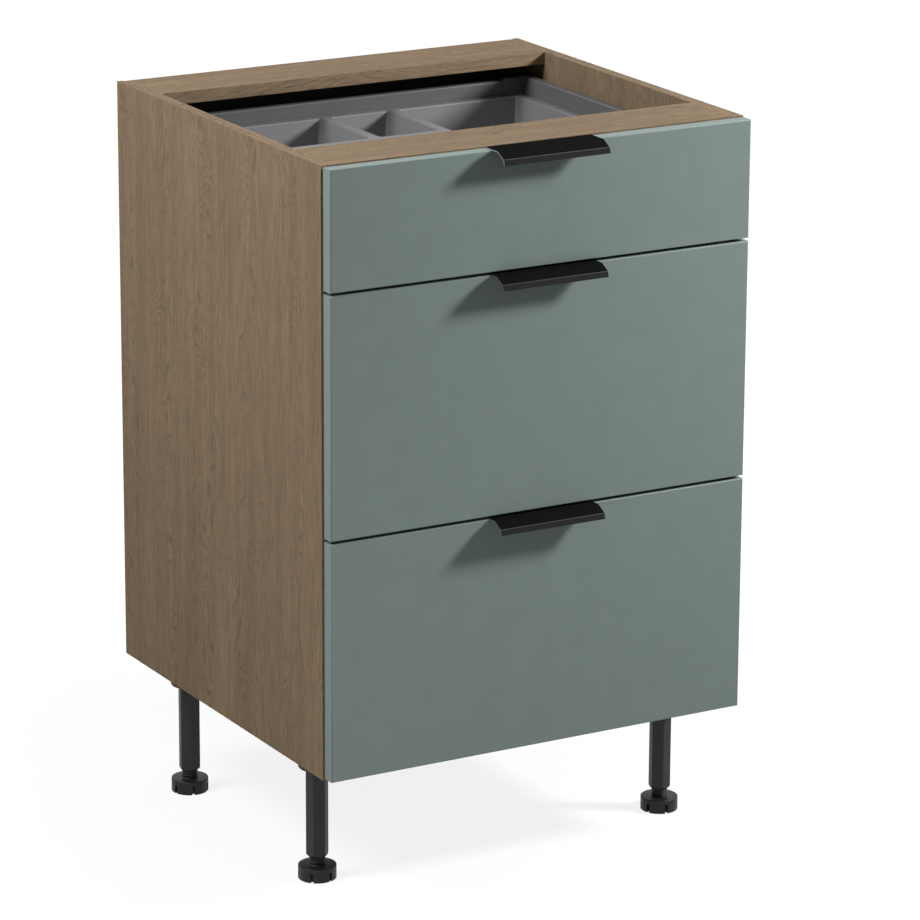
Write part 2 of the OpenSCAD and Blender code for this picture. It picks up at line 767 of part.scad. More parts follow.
// A levelling foot: a notched disc on a stem with rings for its thread
module foot(i) {
    r = stem_d / 2;
    rings = floor(stem_len / thread_pitch);
    thread = [for (n = [0 : 2 * rings])
        [r - (n % 2) * thread_depth, foot_t + n / 2 * thread_pitch]];
    rim = corner_arc([foot_d / 2, 0], [foot_d / 2, foot_t], [0, foot_t], foot_edge_r);
    color(black) at_case() at_leg(i) rotate([0, 0, foot_turns[i]]) translate([0, 0, -leg_h])
        difference() {
            rotate_extrude() polygon(concat([[0, 0], [foot_d / 2, 0]], rim, thread,
                [[r - thread_depth, foot_t + stem_len], [0, foot_t + stem_len]]));
            for (n = [0 : notch_count - 1]) rotate([0, 0, 360 * n / notch_count - 90])
                translate([foot_d / 2 - notch_depth, -notch_w / 2, -past])
                    cube([notch_depth + past, notch_w, notch_h + past]);
        }
}

module leg_screws() color(zinc) at_case() at_leg_screws() screw();

mirror([1, 0, 0]) side_panel();  // side_panel_left
side_panel();  // side_panel_right
bottom_panel();
back_panel();
rail(0);  // front_rail
rail(rear_rail_y);  // rear_rail
panel_dowels();
cam_fittings();
back_panel_screws();
runner_rails(0);  // top_runner_rails
runner_rails(1);  // middle_runner_rails
runner_rails(2);  // bottom_runner_rails
runner_screws();
leg_sockets();
leg_tubes();
leg_screws();
foot(0);  // foot_front_left
foot(1);  // foot_rear_left
foot(2);  // foot_front_right
foot(3);  // foot_rear_right
runner_links(0);  // top_runner_links
runner_links(1);  // middle_runner_links
runner_links(2);  // bottom_runner_links
cutlery_tray();
drawer_front(0);  // top_front
handle(0);  // top_handle
mirror([1, 0, 0]) steel_side(0);  // top_side_left
steel_side(0);  // top_side_right
steel_back(0);  // top_back
corner_brackets(0);  // top_corner_brackets
front_brackets(0);  // top_front_brackets
drawer_base(0);  // top_base
slides(0);  // top_slides
catches(0);  // top_catches
drawer_screws(0);  // top_drawer_screws
drawer_front(1);  // middle_front
handle(1);  // middle_handle
mirror([1, 0, 0]) steel_side(1);  // middle_side_left
steel_side(1);  // middle_side_right
steel_back(1);  // middle_back
corner_brackets(1);  // middle_corner_brackets
front_brackets(1);  // middle_front_brackets
drawer_base(1);  // middle_base
slides(1);  // middle_slides
catches(1);  // middle_catches
drawer_screws(1);  // middle_drawer_screws
drawer_front(2);  // bottom_front
handle(2);  // bottom_handle
mirror([1, 0, 0]) steel_side(2);  // bottom_side_left
steel_side(2);  // bottom_side_right
steel_back(2);  // bottom_back
corner_brackets(2);  // bottom_corner_brackets
front_brackets(2);  // bottom_front_brackets
drawer_base(2);  // bottom_base
slides(2);  // bottom_slides
catches(2);  // bottom_catches
drawer_screws(2);  // bottom_drawer_screws
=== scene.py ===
import json
import math

import bmesh
import bpy
import numpy as np
from mathutils import Matrix, Vector
from mathutils.geometry import tessellate_polygon

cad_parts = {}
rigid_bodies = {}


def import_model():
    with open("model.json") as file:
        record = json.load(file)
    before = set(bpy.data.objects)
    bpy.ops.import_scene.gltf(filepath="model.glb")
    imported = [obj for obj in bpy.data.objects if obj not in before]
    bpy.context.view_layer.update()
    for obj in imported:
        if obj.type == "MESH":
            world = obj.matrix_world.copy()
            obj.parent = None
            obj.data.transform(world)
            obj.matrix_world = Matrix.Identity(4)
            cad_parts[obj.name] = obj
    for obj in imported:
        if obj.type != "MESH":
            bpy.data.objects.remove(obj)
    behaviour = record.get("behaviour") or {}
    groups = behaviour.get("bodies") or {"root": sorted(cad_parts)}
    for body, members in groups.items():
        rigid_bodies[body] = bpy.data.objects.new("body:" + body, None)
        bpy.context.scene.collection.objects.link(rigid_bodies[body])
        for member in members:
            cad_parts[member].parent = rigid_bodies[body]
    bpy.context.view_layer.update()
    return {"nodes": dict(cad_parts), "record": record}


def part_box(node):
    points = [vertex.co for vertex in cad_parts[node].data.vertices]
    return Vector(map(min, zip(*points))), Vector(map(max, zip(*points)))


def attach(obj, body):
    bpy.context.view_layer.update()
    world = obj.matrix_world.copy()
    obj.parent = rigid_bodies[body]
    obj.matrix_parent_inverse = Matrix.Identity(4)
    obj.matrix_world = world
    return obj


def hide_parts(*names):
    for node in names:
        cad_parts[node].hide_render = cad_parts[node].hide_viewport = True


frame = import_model()

MM = 0.001
WHITE = (1, 1, 1, 1)


def add_object(name, data):
    """Adds an object with the given mesh, lamp or camera to the scene."""
    made = bpy.data.objects.new(name, data)
    bpy.context.scene.collection.objects.link(made)
    return made


def add_node(tree, kind, inputs, **settings):
    """Adds a shader node. inputs maps its sockets to plain values or to the outputs that feed them."""
    made = tree.nodes.new("ShaderNode" + kind)
    for name, value in settings.items():
        setattr(made, name, value)
    for socket, value in inputs.items():
        if isinstance(value, bpy.types.NodeSocket):
            tree.links.new(value, made.inputs[socket])
        else:
            made.inputs[socket].default_value = value
    return made


def link_math(tree, operation, a, b=0.0):
    """The outcome of one sum, product or other step on a and b."""
    return add_node(tree, "Math", {0: a, 1: b}, operation=operation).outputs[0]


def coordinates(tree, kind):
    """The piece's own coordinates, kind Object, or the direction that its face looks in, kind Normal."""
    return tree.nodes.new("ShaderNodeTexCoord").outputs[kind]


def split_axes(tree, vector):
    """A vector's outputs along X, Y and Z."""
    return add_node(tree, "SeparateXYZ", {0: vector}).outputs


def place_on_piece(tree, size, shift=(0, 0, 0)):
    """Object coordinates in steps of size, which is in millimetres along each axis."""
    steps = [1 / (s * MM) for s in size]
    place = {"Vector": coordinates(tree, "Object"), "Scale": steps, "Location": shift}
    return add_node(tree, "Mapping", place).outputs[0]


def noise(tree, vector, detail=2.0, roughness=0.5):
    """Noise of 0 to 1 whose grains are about one step of the vector wide."""
    settings = {"Vector": vector, "Scale": 1.0, "Detail": detail, "Roughness": roughness}
    return add_node(tree, "TexNoise", settings).outputs["Fac"]


def spread(tree, value, low, high, to_low, to_high, smooth=False):
    """Carries value from low..high to to_low..to_high, held at its ends."""
    kind = "SMOOTHSTEP" if smooth else "LINEAR"
    spans = {"Value": value, "From Min": low, "From Max": high, "To Min": to_low, "To Max": to_high}
    return add_node(tree, "MapRange", spans, interpolation_type=kind).outputs[0]


def blend_colours(tree, share, a, b):
    """Colour a where share is 0 and b where it is 1."""
    mix = tree.nodes.new("ShaderNodeMix")
    mix.data_type = "RGBA"
    for socket, value in (("Factor_Float", share), ("A_Color", a), ("B_Color", b)):
        target = next(s for s in mix.inputs if s.identifier == socket)
        if isinstance(value, bpy.types.NodeSocket):
            tree.links.new(value, target)
        else:
            target.default_value = value
    return next(s for s in mix.outputs if s.identifier == "Result_Color")


def seen_directly(tree):
    """1 on rays from the camera and on rays that a mirror or glass sends on, else 0."""
    path = tree.nodes.new("ShaderNodeLightPath").outputs
    either = link_math(tree, "MAXIMUM", path["Is Camera Ray"], path["Is Glossy Ray"])
    return link_math(tree, "MAXIMUM", either, path["Is Transmission Ray"])


def raise_surface(tree, shader, height, depth):
    """Bump from a height of 0 to 1 that stands for depth millimetres."""
    bump = add_node(tree, "Bump", {"Height": height, "Distance": depth * MM, "Strength": 1.0})
    tree.links.new(bump.outputs[0], shader.inputs["Normal"])


def new_finish(name, colour, roughness, specular=0.5, metallic=0.0):
    """A material with one plain look, its node tree and its shader."""
    material = bpy.data.materials.new(name)
    material.use_nodes = True
    shader = material.node_tree.nodes["Principled BSDF"]
    shader.inputs["Base Color"].default_value = colour
    shader.inputs["Roughness"].default_value = roughness
    shader.inputs["Specular IOR Level"].default_value = specular
    shader.inputs["Metallic"].default_value = metallic
    return material, material.node_tree, shader


def paint(red, green, blue):
    """The linear colour of a screen colour given in steps of 255."""
    screen = np.array([red, green, blue]) / 255
    linear = np.where(screen <= 0.04045, screen / 12.92, ((screen + 0.055) / 1.055) ** 2.4)
    return (*linear.tolist(), 1.0)


def shaded(colour, factor):
    """A colour made darker or lighter by the factor, up to white."""
    return tuple(min(1, c * factor) for c in colour[:3]) + (1,)


# Camera: where the photograph was taken from in metres, its turns in degrees, its lens and sensor in
# millimetres, and how far it sees in metres
CAMERA_AT = (-2.843, -5.041, 2.186)
CAMERA_YAW = 29.76
CAMERA_PITCH = 16.46
CAMERA_ROLL = 0.30
CAMERA_LENS = 182.0
SENSOR_WIDTH = 36.0
CAMERA_REACH = 100


def place_camera():
    """Looks along yaw from +Y towards +X and down by the pitch, then rolls about its own line of sight."""
    yaw, pitch, roll = (math.radians(a) for a in (CAMERA_YAW, CAMERA_PITCH, CAMERA_ROLL))
    forward = Vector((math.sin(yaw) * math.cos(pitch), math.cos(yaw) * math.cos(pitch), -math.sin(pitch)))
    level = Vector((math.cos(yaw), -math.sin(yaw), 0))
    upright = level.cross(forward)
    right = level * math.cos(roll) + upright * math.sin(roll)
    up = upright * math.cos(roll) - level * math.sin(roll)
    data = bpy.data.cameras.new("camera")
    data.lens = CAMERA_LENS
    data.sensor_width = SENSOR_WIDTH
    data.clip_end = CAMERA_REACH
    camera = add_object("camera", data)
    turn = Matrix((right, up, -forward)).transposed().to_4x4()
    camera.matrix_world = Matrix.Translation(CAMERA_AT) @ turn
    bpy.context.scene.camera = camera


# The lamps, in metres: where each stands and where it aims, its width and height, and its level, which is
# what a white surface square to it shows at its aim. Then the strength of the surround's light on the piece.
LAMPS = {
    "key_lamp": ((1.81, -1.16, 1.80), (0, -0.28, 0.6), 0.40, 0.40, 1.46),
    "left_lamp": ((-1.75, 0.2, 2.2), (-0.3, 0, 0.8), 0.8, 0.8, 1.17),
    "top_lamp": ((0.1, 1.1, 3.3), (0, 0, 0.95), 2.0, 1.8, 0.15),
    "corner_lamp": ((-0.9, -1.1, 0.2), (-0.3, -0.3, 0.25), 0.4, 0.3, 0.26),
}
AMBIENT = 0.10


def soft_box(name, at, aim, width, height, level):
    """A rectangular lamp that faces aim. Its power is pi^2 times the level and the distance squared."""
    at, aim = Vector(at), Vector(aim)
    data = bpy.data.lights.new(name, "AREA")
    data.shape = "RECTANGLE"
    data.size, data.size_y = width, height
    data.energy = level * math.pi ** 2 * (aim - at).length_squared
    turn = (aim - at).to_track_quat("-Z", "Y").to_matrix().to_4x4()
    add_object(name, data).matrix_world = Matrix.Translation(at) @ turn


def light_studio():
    """The lamps, and a surround that is white to look at but lights the piece with AMBIENT alone."""
    bpy.context.scene.view_settings.view_transform = "Standard"
    for name, lamp in LAMPS.items():
        soft_box(name, *lamp)
    world = bpy.data.worlds.new("studio")
    bpy.context.scene.world = world
    world.use_nodes = True
    tree = world.node_tree
    background = tree.nodes["Background"]
    shade = spread(tree, seen_directly(tree), 0, 1, AMBIENT, 1.0)
    tree.links.new(shade, background.inputs["Strength"])
    background.inputs["Color"].default_value = WHITE


# Floor: its half width in metres, how much it covers of what lies under it, its own colour, and the share of
# white that it shows unlit, which climbs from this value at the first radius to 1 at the second, in metres
FLOOR_REACH = 14
FLOOR_COVER = 0.20
FLOOR_COLOUR = 0.85
FLOOR_GLOW = 0.30
GLOW_RADII = (0.4, 1.6)


def lay_floor():
    """A thin white veil in the plane z = 0 that keeps the cabinet's shadow. A foot that is screwed out shows
    through it, and it is clear from beneath."""
    corners = np.array([(-1, -1, 0), (1, -1, 0), (1, 1, 0), (-1, 1, 0)]) * FLOOR_REACH
    mesh = bpy.data.meshes.new("floor")
    mesh.from_pydata(corners.tolist(), [], [(0, 1, 2, 3)])
    floor = add_object("floor", mesh)
    grey = (FLOOR_COLOUR,) * 3 + (1,)
    material, tree, shader = new_finish("floor_white", grey, roughness=1.0, specular=0.0)
    shader.inputs["Emission Color"].default_value = WHITE
    at = coordinates(tree, "Object")
    away = add_node(tree, "VectorMath", {0: at}, operation="LENGTH").outputs["Value"]
    glow = spread(tree, away, *GLOW_RADII, FLOOR_GLOW, 1.0, smooth=True)
    glow = link_math(tree, "MULTIPLY", seen_directly(tree), glow)
    tree.links.new(glow, shader.inputs["Emission Strength"])
    clear = add_node(tree, "BsdfTransparent", {})
    beneath = tree.nodes.new("ShaderNodeNewGeometry").outputs["Backfacing"]
    cover = spread(tree, beneath, 0, 1, FLOOR_COVER, 0)
    veil = add_node(tree, "MixShader", {0: cover, 1: clear.outputs[0], 2: shader.outputs[0]})
    tree.links.new(veil.outputs[0], tree.nodes["Material Output"].inputs["Surface"])
    mesh.materials.append(material)


# Oak decor: the width of a veneer leaf and the length of an arch of its figure in millimetres, the factor and
# the power by which the rings climb towards a leaf's edge, and by how many rings leaves may start apart
LEAF_W = 118
ARCH_L = 36
RINGS = 30
CROWDING = 1.8
LEAF_START = 7.0
# Between which distances from its heart a leaf's swing wanes, in leaf widths, and what is left of it beyond
HEART_REACH = (0.06, 0.34)
EDGE_SWING = 0.12
# Where in a ring its dark line begins, is full, wanes and ends
RING_LINE = (0.52, 0.92, 0.94, 1.0)
# How strong the pores are between the dark lines, against 1 on them
PORES_BETWEEN = 0.30
# A face is square to an axis where its normal runs along it by more than this
SQUARE = 0.7
OAK_LIGHT = paint(158, 134, 105)
OAK_MID = paint(141, 120, 96)
OAK_DARK = paint(98, 86, 73)
OAK_PORE = paint(66, 59, 52)
# Noises drawn out along the grain: their length and width in millimetres, a shift, their detail and roughness
OAK_NOISES = {
    "sway": (420, 160, 3.1, 2.0, 0.5),
    "swing": (105, 36, 8.7, 1.0, 0.5),
    "wobble": (40, 9, 12.4, 2.0, 0.5),
    "fade": (170, 22, 15.3, 2.0, 0.5),
    "fibre": (46, 1.4, 21.9, 3.0, 0.8),
    "pore": (19, 1.0, 30.2, 1.0, 0.5),
    "vessel": (7, 0.5, 63.7, 1.0, 0.5),
    "tone": (520, 34, 41.0, 3.0, 0.5),
    "streak": (240, 9, 52.6, 2.0, 0.5),
}
# What a noise is carried from and to: sway in leaves, swing and wobble in rings, the others as shares
OAK_SPREADS = {
    "sway": (0.3, 0.7, -0.16, 0.16),
    "swing": (0.25, 0.75, -3.6, 3.6),
    "wobble": (0.3, 0.7, -0.2, 0.2),
    "fade": (0.38, 0.62, 0.15, 1),
    "pore": (0.56, 0.68, 0, 1),
    "vessel": (0.58, 0.70, 0, 1),
    "tone": (0.3, 0.7, 0, 1),
    "streak": (0.3, 0.7, 0, 1),
}
# What tints the oak, from the first to the last: where each begins and is full, its share there, its colour
OAK_TINTS = {
    "streak": (0, 1, 0.20, OAK_DARK),
    "fibre": (0.34, 0.66, 0.72, OAK_DARK),
    "line": (0, 1, 0.58, OAK_DARK),
    "pore": (0, 1, 0.85, OAK_PORE),
    "vessel": (0, 1, 0.35, OAK_PORE),
}
# What the fibres' noise is carried from and to as a height, the depth in millimetres that a height of 1
# stands for, the roughness beside the pores and in them, and the faint shine
OAK_RIDGES = (0.2, 0.8, 0.5, 1.0)
OAK_DEPTH = 0.05
OAK_ROUGHNESS = (0.66, 0.80)
OAK_SHINE = 0.03


def lie_on_faces(tree, grain, across, end_grain):
    """Object coordinates in the order along, across and into the board. Faces square to end_grain, the banded
    ends, run along across instead, and on faces square to across the leaf lies over the third axis."""
    axes = split_axes(tree, coordinates(tree, "Object"))
    facing = split_axes(tree, coordinates(tree, "Normal"))
    depth = 3 - grain - across
    at = add_node(tree, "CombineXYZ", {0: axes[grain], 1: axes[across], 2: axes[depth]}).outputs[0]
    for square_to, order in ((across, (grain, depth, across)), (end_grain, (across, depth, grain))):
        faced = link_math(tree, "GREATER_THAN", link_math(tree, "ABSOLUTE", facing[square_to]), SQUARE)
        turned = add_node(tree, "CombineXYZ", {i: axes[axis] for i, axis in enumerate(order)}).outputs[0]
        at = add_node(tree, "Mix", {0: faced, 4: at, 5: turned}, data_type="VECTOR").outputs[1]
    return at


def ring_lines(tree, at, layers):
    """The dark lines of the rings, which are the contour lines of along / ARCH_L + RINGS |v|^CROWDING, with v
    from -0.5 to 0.5 across a leaf, bent by the swing, which is strongest at its heart, and by the wobble."""
    spot = split_axes(tree, at)
    leaf = link_math(tree, "MULTIPLY", spot[1], 1 / LEAF_W / MM)
    leaf = link_math(tree, "ADD", leaf, layers["sway"])
    number = link_math(tree, "FLOOR", leaf)
    v = link_math(tree, "SUBTRACT", link_math(tree, "FRACT", leaf), 0.5)
    v = link_math(tree, "ABSOLUTE", v)
    chance = add_node(tree, "TexWhiteNoise", {"W": number}, noise_dimensions="1D").outputs["Value"]
    climb = link_math(tree, "MULTIPLY", spot[0], 1 / ARCH_L / MM)
    climb = link_math(tree, "ADD", climb, link_math(tree, "MULTIPLY", chance, LEAF_START))
    rise = link_math(tree, "MULTIPLY", link_math(tree, "POWER", v, CROWDING), RINGS)
    heart = spread(tree, v, *HEART_REACH, 1, EDGE_SWING, smooth=True)
    swing = link_math(tree, "MULTIPLY", layers["swing"], heart)
    bend = link_math(tree, "ADD", swing, layers["wobble"])
    ring = link_math(tree, "FRACT", link_math(tree, "ADD", link_math(tree, "ADD", climb, rise), bend))
    darkening = spread(tree, ring, *RING_LINE[:2], 0, 1, smooth=True)
    waning = spread(tree, ring, *RING_LINE[2:], 1, 0, smooth=True)
    line = link_math(tree, "MULTIPLY", darkening, waning)
    return link_math(tree, "MULTIPLY", line, layers["fade"])


def oak_decor(name, grain, across, end_grain, seed):
    """Plain-sawn oak with the ring lines over its fibres, pores and tones. grain, across and end_grain are
    axes, 0 to 2, and another seed gives other boards."""
    material, tree, shader = new_finish(name, OAK_MID, OAK_ROUGHNESS[0], OAK_SHINE)
    at = lie_on_faces(tree, grain, across, end_grain)
    layers = {}
    for kind, (along, side, shift, detail, rough) in OAK_NOISES.items():
        place = {"Vector": at, "Location": (shift + seed, shift, seed),
                 "Scale": (1 / along / MM, 1 / side / MM, 1 / side / MM)}
        layers[kind] = noise(tree, add_node(tree, "Mapping", place).outputs[0], detail, rough)
        if kind in OAK_SPREADS:
            layers[kind] = spread(tree, layers[kind], *OAK_SPREADS[kind])
    layers["line"] = ring_lines(tree, at, layers)
    crowd = spread(tree, layers["line"], 0, 1, PORES_BETWEEN, 1.0)
    layers["pore"] = link_math(tree, "MULTIPLY", layers["pore"], crowd)

    colour = blend_colours(tree, layers["tone"], OAK_MID, OAK_LIGHT)
    for kind, (low, high, share, tint) in OAK_TINTS.items():
        colour = blend_colours(tree, spread(tree, layers[kind], low, high, 0, share), colour, tint)
    tree.links.new(colour, shader.inputs["Base Color"])
    tree.links.new(spread(tree, layers["pore"], 0, 1, *OAK_ROUGHNESS), shader.inputs["Roughness"])
    ridges = spread(tree, layers["fibre"], *OAK_RIDGES)
    raise_surface(tree, shader, link_math(tree, "SUBTRACT", ridges, layers["vessel"]), OAK_DEPTH)
    return material


# Where nearly all of a noise's values lie, and where most of them do
NOISE_SPAN = (0.3, 0.7)
NOISE_MIDDLE = (0.35, 0.65)
# The noises of a paint's skin and of metal's flow lines, as their detail and roughness
SKIN_NOISE = (3.0, 0.6)
FLOW_NOISE = (4.0, 0.6)
# The slow clouds on paint and on metal: their grain along each axis in millimetres, a shift of their own,
# their detail, and how dark metal is in them
PAINT_CLOUD = (38, 38, 38)
PAINT_CLOUD_SHIFT = (5, 5, 5)
METAL_CLOUD = (9, 9, 9)
METAL_CLOUD_SHIFT = (2, 7, 4)
METAL_CLOUD_DETAIL = 3.0
METAL_DARK = 0.80
# By how much the roughness goes below and above its own value on paint and on metal
PAINT_GLOSS = (-0.04, 0.04)
METAL_GLOSS = (-0.08, 0.12)


def vary_roughness(tree, shader, value, roughness, swing):
    """Lets the roughness follow a noise, from swing's first value to its second round the given one."""
    gloss = spread(tree, value, *NOISE_SPAN, roughness + swing[0], roughness + swing[1])
    tree.links.new(gloss, shader.inputs["Roughness"])


def even_paint(name, colour, roughness, grain, depth, specular=0.5, mottle=0.05):
    """A painted, coated or moulded surface: a fine skin of the given grain size and depth in millimetres,
    and a slow, faint mottle in its shade and gloss."""
    material, tree, shader = new_finish(name, colour, roughness, specular)
    skin = noise(tree, place_on_piece(tree, (grain,) * 3), *SKIN_NOISE)
    cloud = noise(tree, place_on_piece(tree, PAINT_CLOUD, PAINT_CLOUD_SHIFT))
    shade = link_math(tree, "MULTIPLY", skin, 0.5)
    shade = link_math(tree, "ADD", shade, link_math(tree, "MULTIPLY", cloud, 0.5))
    share = spread(tree, shade, *NOISE_MIDDLE, 0, 1)
    mottled = blend_colours(tree, share, shaded(colour, 1 - mottle), shaded(colour, 1 + mottle))
    tree.links.new(mottled, shader.inputs["Base Color"])
    vary_roughness(tree, shader, shade, roughness, PAINT_GLOSS)
    raise_surface(tree, shader, skin, depth)
    return material


def metal(name, colour, roughness, size, depth):
    """Rolled or plated metal. Its scratches and flow lines are drawn out by size, in millimetres along each
    axis."""
    material, tree, shader = new_finish(name, colour, roughness, metallic=1.0)
    flow = noise(tree, place_on_piece(tree, size), *FLOW_NOISE)
    cloud = noise(tree, place_on_piece(tree, METAL_CLOUD, METAL_CLOUD_SHIFT), METAL_CLOUD_DETAIL)
    share = spread(tree, cloud, *NOISE_MIDDLE, 0, 1)
    clouded = blend_colours(tree, share, shaded(colour, METAL_DARK), colour)
    tree.links.new(clouded, shader.inputs["Base Color"])
    vary_roughness(tree, shader, flow, roughness, METAL_GLOSS)
    raise_surface(tree, shader, flow, depth)
    return material


# By how far up a face of the handle looks, the painted highlight on the rounded edge over the lip: where it
# begins, is full, wanes and ends
HIGHLIGHT_RISE = (0.25, 0.52, 0.70, 0.80)
# From where to where a face counts as a sawn end, by how far its normal runs along X
END_FACING = (0.9, 0.97)
# Painted highlight: the paler colour given to the rounded edge over the lip in place of the lamps' reflection
PAINTED_HIGHLIGHT_COLOUR = paint(78, 78, 80)
SAWN_COLOUR = paint(150, 151, 153)


def handle_coat():
    """Black powder coat. The sawn ends of the profile, square to X, show paler, and the rounded edge over the
    lip gets a painted highlight: a paler colour where its normal faces part way up.
    """
    material = even_paint("handle_black", paint(22, 22, 23), 0.40, 0.5, 0.006, specular=0.0, mottle=0.10)
    tree = material.node_tree
    base = tree.nodes["Principled BSDF"].inputs["Base Color"]
    facing = split_axes(tree, coordinates(tree, "Normal"))
    end = spread(tree, link_math(tree, "ABSOLUTE", facing[0]), *END_FACING, 0, 1)
    # Painted highlight on the rounded edge over the lip, where the normal faces part way up
    painted_highlight = link_math(tree, "MULTIPLY", spread(tree, facing[2], *HIGHLIGHT_RISE[:2], 0, 1),
                      spread(tree, facing[2], *HIGHLIGHT_RISE[2:], 1, 0))
    colour = blend_colours(tree, painted_highlight, base.links[0].from_socket, PAINTED_HIGHLIGHT_COLOUR)
    tree.links.new(blend_colours(tree, end, colour, SAWN_COLOUR), base)
    return material


# Beech: the size of a fleck along each axis in millimetres, what its noise is carried from and to, the depth
# in millimetres that 1 stands for, and the roughness
FLECK = (6, 0.5, 0.5)
FLECK_SPREAD = (0.55, 0.7, 0, 0.5)
FLECK_DEPTH = 0.03
BEECH_ROUGHNESS = 0.6
BEECH_COLOUR = paint(208, 175, 132)
FLECK_COLOUR = paint(150, 112, 74)


def beech_wood():
    """Pale beech with short dark flecks along the dowels' axis, X."""
    material, tree, shader = new_finish("beech", BEECH_COLOUR, BEECH_ROUGHNESS)
    fleck = spread(tree, noise(tree, place_on_piece(tree, FLECK)), *FLECK_SPREAD)
    colour = blend_colours(tree, fleck, BEECH_COLOUR, FLECK_COLOUR)
    tree.links.new(colour, shader.inputs["Base Color"])
    raise_surface(tree, shader, fleck, FLECK_DEPTH)
    return material


# One finish for each material slot of the record. After a paint's colour come its roughness and its skin's
# grain and depth in millimetres, and after a metal's its roughness, its lines' size along each axis and their
# depth.
FINISHES = {
    "case_board": oak_decor("case_board", grain=2, across=1, end_grain=2, seed=0.0),
    # Painted shade: the back board is near black to stand in for the deep shadow under the rear rail
    "back_board": even_paint("back_board", paint(34, 33, 32), 0.6, 1.6, 0.02, specular=0.3, mottle=0.12),
    "front_lacquer": even_paint("front_lacquer", paint(121, 134, 130), 0.45, 1.6, 0.006, specular=0.12,
                                mottle=0.03),
    "handle_black": handle_coat(),
    "drawer_steel": even_paint("drawer_steel", paint(93, 93, 95), 0.40, 1.2, 0.002, specular=0.4,
                               mottle=0.03),
    "bracket_plastic": even_paint("bracket_plastic", paint(88, 88, 90), 0.5, 0.4, 0.012),
    "drawer_base_board": even_paint("drawer_base_board", paint(118, 118, 120), 0.5, 0.9, 0.015),
    "runner_steel": metal("runner_steel", paint(196, 198, 200), 0.34, (1.2, 40, 1.2), 0.01),
    "catch_plastic": even_paint("catch_plastic", paint(112, 112, 114), 0.5, 0.4, 0.012),
    "tray_plastic": even_paint("tray_plastic", paint(116, 116, 118), 0.38, 1.4, 0.001, specular=0.4,
                               mottle=0.01),
    "leg_plastic": even_paint("leg_plastic", paint(38, 38, 39), 0.5, 0.9, 0.05, specular=0.25, mottle=0.20),
    "foot_plastic": even_paint("foot_plastic", paint(25, 25, 26), 0.45, 0.8, 0.03, specular=0.25,
                               mottle=0.12),
    "zinc": metal("zinc", paint(190, 192, 194), 0.30, (0.8, 0.8, 0.8), 0.008),
    "beech": beech_wood(),
}
LYING_OAK = oak_decor("case_board_lying", grain=0, across=1, end_grain=0, seed=4.7)
LYING_BOARDS = ("front_rail", "rear_rail", "bottom_panel")


def dress_nodes():
    """Gives every CAD node the finish of the material slot that the record names for it."""
    for part in frame["record"]["subparts"]:
        name = part["node"]
        finish = LYING_OAK if name in LYING_BOARDS else FINISHES[part["material_slot"]]
        frame["nodes"][name].data.materials[0] = finish


# How far the sharp edges of each kind of piece are rounded, in millimetres
EDGE_ROUNDS = {
    "side_panel_left": 0.5, "side_panel_right": 0.5, "bottom_panel": 0.5, "front_rail": 0.5, "rear_rail": 0.5,
    "back_panel": 0.3, "top_handle": 0.8, "middle_handle": 0.8, "bottom_handle": 0.8, "leg_tubes": 0.4,
    "top_front": 0.8, "middle_front": 0.8, "bottom_front": 0.8,
}
# How near points have to be for a weld in millimetres, the angle in degrees below which faces lie in one
# plane, the one above which an edge is rounded, and the steps of a round
EDGE_WELD = 0.004
FLAT_ANGLE = 0.5
ROUND_ANGLE = 35
ROUND_STEPS = 2


def soften_edges(name, width):
    """Welds a CAD node's loose triangles and rounds its sharp edges by width millimetres."""
    node = frame["nodes"][name]
    weld = node.modifiers.new("weld", "WELD")
    weld.merge_threshold = EDGE_WELD * MM
    flat = node.modifiers.new("flat", "DECIMATE")
    flat.decimate_type = "DISSOLVE"
    flat.angle_limit = math.radians(FLAT_ANGLE)
    bevel = node.modifiers.new("bevel", "BEVEL")
    bevel.width = width * MM
    bevel.segments = ROUND_STEPS
    bevel.limit_method = "ANGLE"
    bevel.angle_limit = math.radians(ROUND_ANGLE)
    bevel.harden_normals = True


# The step in metres to which the points of a new piece are rounded when they are merged, and the angle in
# degrees above which its edges stay sharp
MERGE_REACH = 1e-6
SHARP_ANGLE = 40


def ring_faces(count, rings, first):
    """Quads between neighbouring rings of count points, wound so that they face the way that z climbs."""
    i, k = np.meshgrid(np.arange(rings - 1), np.arange(count), indexing="ij")
    a = first + i * count + k
    b = first + i * count + (k + 1) % count
    return np.stack([a, b, b + count, a + count], -1).reshape(-1, 4)


def face_up(corners, points):
    """A flat triangle's corners in the order that makes it face up."""
    a, b, c = (points[i, :2] for i in corners)
    turn = (b[0] - a[0]) * (c[1] - a[1]) - (b[1] - a[1]) * (c[0] - a[0])
    return corners if turn > 0 else corners[::-1]


def merge_points(points, faces):
    """Points that round to the same step of MERGE_REACH become one, and faces lose the corners that fall
    together."""
    _, kept, places = np.unique(np.round(points / MERGE_REACH), axis=0, return_index=True,
                                return_inverse=True)
    places = places.ravel()
    merged = []
    for face in faces:
        corners = [int(places[i]) for i in face]
        corners = [c for c, before in zip(corners, corners[-1:] + corners[:-1]) if c != before]
        if len(set(corners)) > 2:
            merged.append(corners)
    return points[kept], merged


def piece_from(name, points, faces, finish):
    """A mesh object at the origin, shaded smooth except over its sharp edges."""
    points, faces = merge_points(np.asarray(points), faces)
    mesh = bpy.data.meshes.new(name)
    mesh.from_pydata(points.tolist(), [], faces)
    mesh.validate()
    mesh.shade_smooth()
    mesh.set_sharp_from_angle(angle=math.radians(SHARP_ANGLE))
    mesh.materials.append(finish)
    return add_object(name, mesh)


